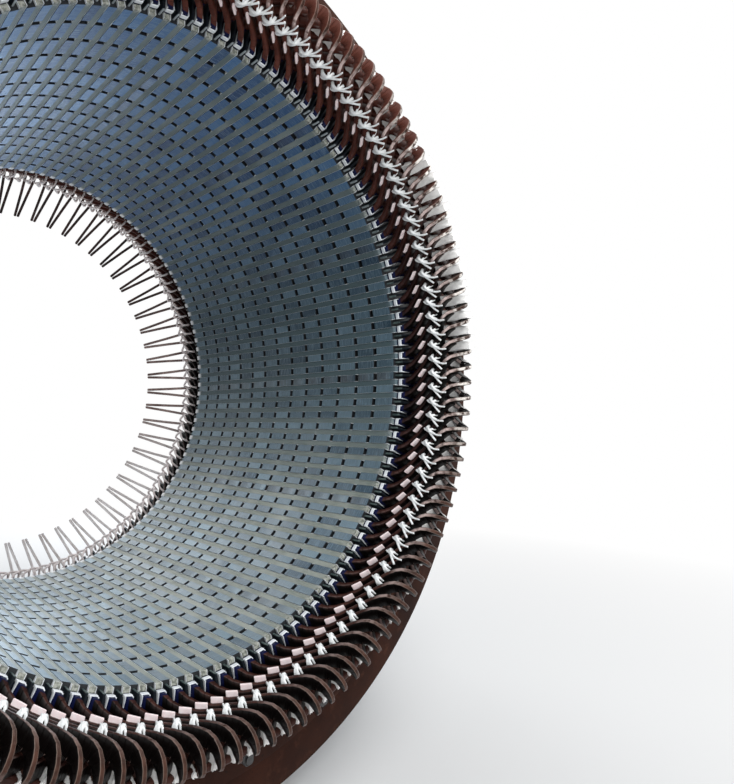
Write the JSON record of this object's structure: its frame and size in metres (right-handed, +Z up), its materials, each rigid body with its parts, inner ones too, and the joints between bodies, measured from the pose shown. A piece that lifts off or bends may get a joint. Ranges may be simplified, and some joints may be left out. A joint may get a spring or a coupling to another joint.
{
  "type": "motor stator",
  "caption": "Wound stator of a large low-speed motor: slotted laminated core with diamond coils, nosed end windings, free coil leads at one end and a round open frame on two feet.",
  "frame": {"origin": "on the floor, under the middle of the whole outline", "axes": "+Y along the bore from the near end to the end with the coil leads, +X to the right seen from the near end, +Z up"},
  "size_m": [1.79, 1.278, 1.9303],
  "materials": {
    "laminated_steel": "satin",
    "slot_wedge": "matte",
    "coil_tape": "satin",
    "lead_sleeve": "matte",
    "oxide_paint": "matte"
  },
  "bodies": {
    "root": {"core_sector_01": "laminated_steel", "core_sector_02": "laminated_steel", "core_sector_03": "laminated_steel", "core_sector_04": "laminated_steel", "core_sector_05": "laminated_steel", "core_sector_06": "laminated_steel", "core_sector_07": "laminated_steel", "core_sector_08": "laminated_steel", "core_sector_09": "laminated_steel", "core_sector_10": "laminated_steel", "core_sector_11": "laminated_steel", "core_sector_12": "laminated_steel", "coil_group_01": "coil_tape", "coil_group_02": "coil_tape", "coil_group_03": "coil_tape", "coil_group_04": "coil_tape", "coil_group_05": "coil_tape", "coil_group_06": "coil_tape", "coil_group_07": "coil_tape", "coil_group_08": "coil_tape", "coil_group_09": "coil_tape", "coil_group_10": "coil_tape", "coil_group_11": "coil_tape", "coil_group_12": "coil_tape", "coil_leads_1": "lead_sleeve", "coil_leads_2": "lead_sleeve", "coil_leads_3": "lead_sleeve", "coil_leads_4": "lead_sleeve", "slot_wedges": "slot_wedge", "press_plate_near": "oxide_paint", "press_plate_far": "oxide_paint", "end_ring_near": "oxide_paint", "middle_ring_1": "oxide_paint", "middle_ring_2": "oxide_paint", "end_ring_far": "oxide_paint", "building_bars": "oxide_paint", "foot_left": "oxide_paint", "foot_right": "oxide_paint", "lifting_lugs": "oxide_paint"}
  },
  "joints": []
}
